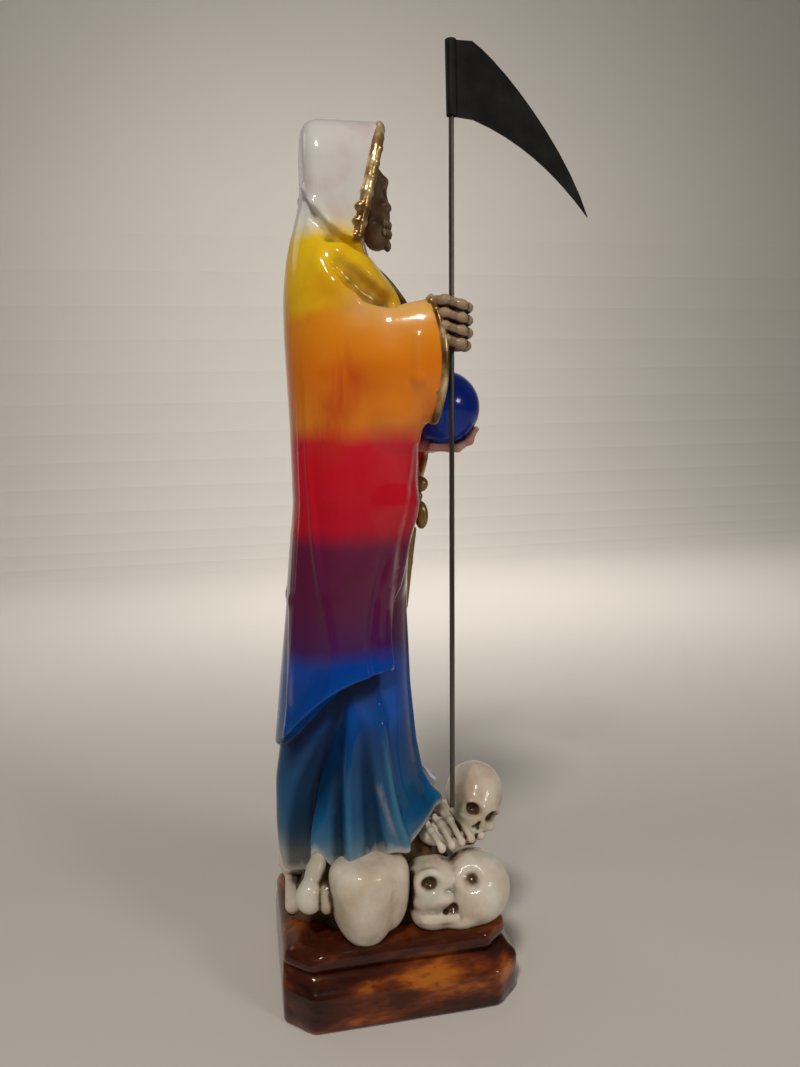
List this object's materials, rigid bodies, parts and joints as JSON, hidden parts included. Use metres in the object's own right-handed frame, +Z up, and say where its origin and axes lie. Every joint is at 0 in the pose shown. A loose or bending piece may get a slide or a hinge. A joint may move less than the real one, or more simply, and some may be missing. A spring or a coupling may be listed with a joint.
{
  "type": "hooded skeleton figurine",
  "caption": "Cast figure of a hooded, robed skeleton on a stepped plinth of skulls and bones, holding a thin upright scythe and a globe.",
  "frame": {"origin": "centre of the plinth's underside, on the surface it stands on", "axes": "+Z up, along the figure's height; the figure looks along -Y; its right hand, with the scythe, is at -X and its left hand, with the globe, at +X"},
  "size_m": [0.066, 0.0963, 0.2765],
  "materials": {
    "cast_figure": "glossy lacquered paint over cast resin",
    "scythe_rod": "thin dark brown wire rod, satin",
    "scythe_blade": "matt black sheet"
  },
  "bodies": {
    "root": {"cast_figure": "cast_figure", "scythe_rod": "scythe_rod", "scythe_blade": "scythe_blade"}
  },
  "joints": []
}
